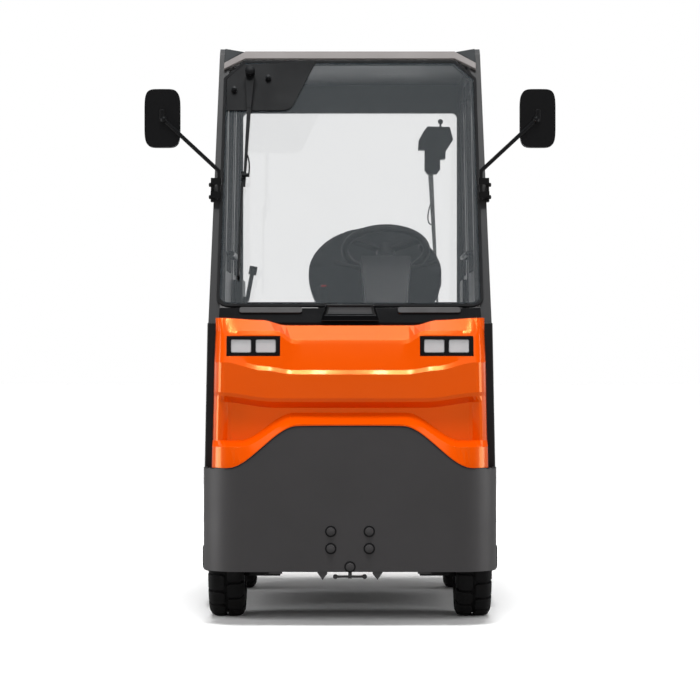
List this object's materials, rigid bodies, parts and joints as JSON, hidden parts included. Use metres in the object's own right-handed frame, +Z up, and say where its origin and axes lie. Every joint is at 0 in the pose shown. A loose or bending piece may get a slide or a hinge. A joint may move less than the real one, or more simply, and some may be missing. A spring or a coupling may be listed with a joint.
{
  "type": "electric baggage tow tractor",
  "caption": "Closed-cab electric tow tractor with an orange moulded nose, a grey apron, a raked windscreen, side doors, door mirrors and a rear jaw coupling.",
  "frame": {"origin": "on the floor, under the middle of the bounding box", "axes": "-Y the way the tractor drives, +X to the driver's left, +Z up"},
  "size_m": [1.406, 1.85, 1.969],
  "materials": {
    "frame_steel": "satin",
    "black_plastic": "fine grain",
    "black_gloss": "gloss",
    "black_paint": "satin",
    "dark_grey_paint": "satin",
    "orange_paint": "gloss",
    "lamp_lens": "clear",
    "warm_grey_paint": "satin",
    "roof_grey": "satin",
    "pale_grey_paint": "satin",
    "seal_rubber": "matt",
    "tinted_glass": "clear",
    "mirror_glass": "silvered",
    "seat_fabric": "woven",
    "black_rubber": "matt",
    "red_lens": "gloss",
    "cast_black": "painted",
    "tyre_rubber": "matt",
    "rim_paint": "satin"
  },
  "bodies": {
    "chassis": {"chassis_frame": "frame_steel", "floor_deck": "black_plastic", "side_steps": "black_plastic", "wheel_housings": "black_paint", "front_apron": "dark_grey_paint", "front_panel": "orange_paint", "headlamp_frames": "black_plastic", "headlamp_lenses": "lamp_lens", "front_side_panels": "black_paint", "dashboard": "black_plastic", "cowl": "black_plastic", "cowl_lamp": "black_gloss", "screen_clamps": "warm_grey_paint", "side_frames": "black_paint", "roof_panel": "roof_grey", "roof_beam": "pale_grey_paint", "windscreen_seal": "seal_rubber", "windscreen": "tinted_glass", "wiper_plate": "black_plastic", "wipers": "black_plastic", "side_windows": "tinted_glass", "rear_frame": "black_paint", "rear_window": "tinted_glass", "mirrors": "black_plastic", "mirror_faces": "mirror_glass", "seat_box": "black_plastic", "seat_base": "frame_steel", "seat_cushion": "seat_fabric", "seat_backrest": "seat_fabric", "steering_column": "black_plastic", "side_consoles": "black_plastic", "pedals": "black_rubber", "battery": "black_plastic", "rear_side_panels": "black_paint", "rear_panel": "orange_paint", "rear_bumper": "dark_grey_paint", "tail_lamps": "red_lens", "rear_coupling": "cast_black", "rear_axle": "cast_black", "front_axle": "cast_black"},
    "knuckle_left": {"knuckle_left": "cast_black"},
    "knuckle_right": {"knuckle_right": "cast_black"},
    "track_rod": {"track_rod": "frame_steel"},
    "steering_wheel": {"steering_wheel": "black_plastic"},
    "door_left": {"door_left": "black_paint", "door_glass_left": "tinted_glass"},
    "door_right": {"door_right": "black_paint", "door_glass_right": "tinted_glass"},
    "rear_hood": {"rear_hood": "orange_paint"},
    "wheel_front_left": {"tyre_front_left": "tyre_rubber", "rim_front_left": "rim_paint"},
    "wheel_front_right": {"tyre_front_right": "tyre_rubber", "rim_front_right": "rim_paint"},
    "wheel_rear_left": {"tyre_rear_left": "tyre_rubber", "rim_rear_left": "rim_paint"},
    "wheel_rear_right": {"tyre_rear_right": "tyre_rubber", "rim_rear_right": "rim_paint"}
  },
  "joints": [
    {"name": "steer_left", "type": "hinge", "parent": "chassis", "child": "knuckle_left", "pos_m": [0.335, -0.525, 0.19], "axis": [0, 0, 1], "range_deg": [-40, 40]},
    {"name": "steer_right", "type": "hinge", "parent": "chassis", "child": "knuckle_right", "pos_m": [-0.335, -0.525, 0.19], "axis": [0, 0, 1], "range_deg": [-40, 40]},
    {"name": "track_rod_pivot", "type": "hinge", "parent": "knuckle_left", "child": "track_rod", "pos_m": [0.335, -0.415, 0.151], "axis": [0, 0, 1], "range_deg": [-40, 40]},
    {"name": "steering_wheel_turn", "type": "hinge", "parent": "chassis", "child": "steering_wheel", "pos_m": [0.128, -0.075, 1.267], "axis": [0, 0.5, 0.866], "range_deg": [-480, 480]},
    {"name": "front_left_spin", "type": "hinge", "parent": "knuckle_left", "child": "wheel_front_left", "pos_m": [0.4175, -0.525, 0.19], "axis": [1, 0, 0], "continuous": true},
    {"name": "front_right_spin", "type": "hinge", "parent": "knuckle_right", "child": "wheel_front_right", "pos_m": [-0.4175, -0.525, 0.19], "axis": [1, 0, 0], "continuous": true},
    {"name": "rear_left_spin", "type": "hinge", "parent": "chassis", "child": "wheel_rear_left", "pos_m": [0.4175, 0.535, 0.19], "axis": [1, 0, 0], "continuous": true},
    {"name": "rear_right_spin", "type": "hinge", "parent": "chassis", "child": "wheel_rear_right", "pos_m": [-0.4175, 0.535, 0.19], "axis": [1, 0, 0], "continuous": true},
    {"name": "door_left_swing", "type": "hinge", "parent": "chassis", "child": "door_left", "pos_m": [0.48737, 0.24825, 1.16016], "axis": [-0.0192, 0, 0.9998], "range_deg": [0, 95]},
    {"name": "door_right_swing", "type": "hinge", "parent": "chassis", "child": "door_right", "pos_m": [-0.48737, 0.24825, 1.16016], "axis": [-0.0192, 0, -0.9998], "range_deg": [0, 95]},
    {"name": "rear_hood_lift", "type": "hinge", "parent": "chassis", "child": "rear_hood", "pos_m": [0, 0.617, 0.816], "axis": [1, 0, 0], "range_deg": [0, 60]}
  ],
  "couplings": [
    {"joint": "steer_right", "follows": "steer_left", "ratio": 1},
    {"joint": "track_rod_pivot", "follows": "steer_left", "ratio": -1},
    {"joint": "steering_wheel_turn", "follows": "steer_left", "ratio": 12}
  ]
}
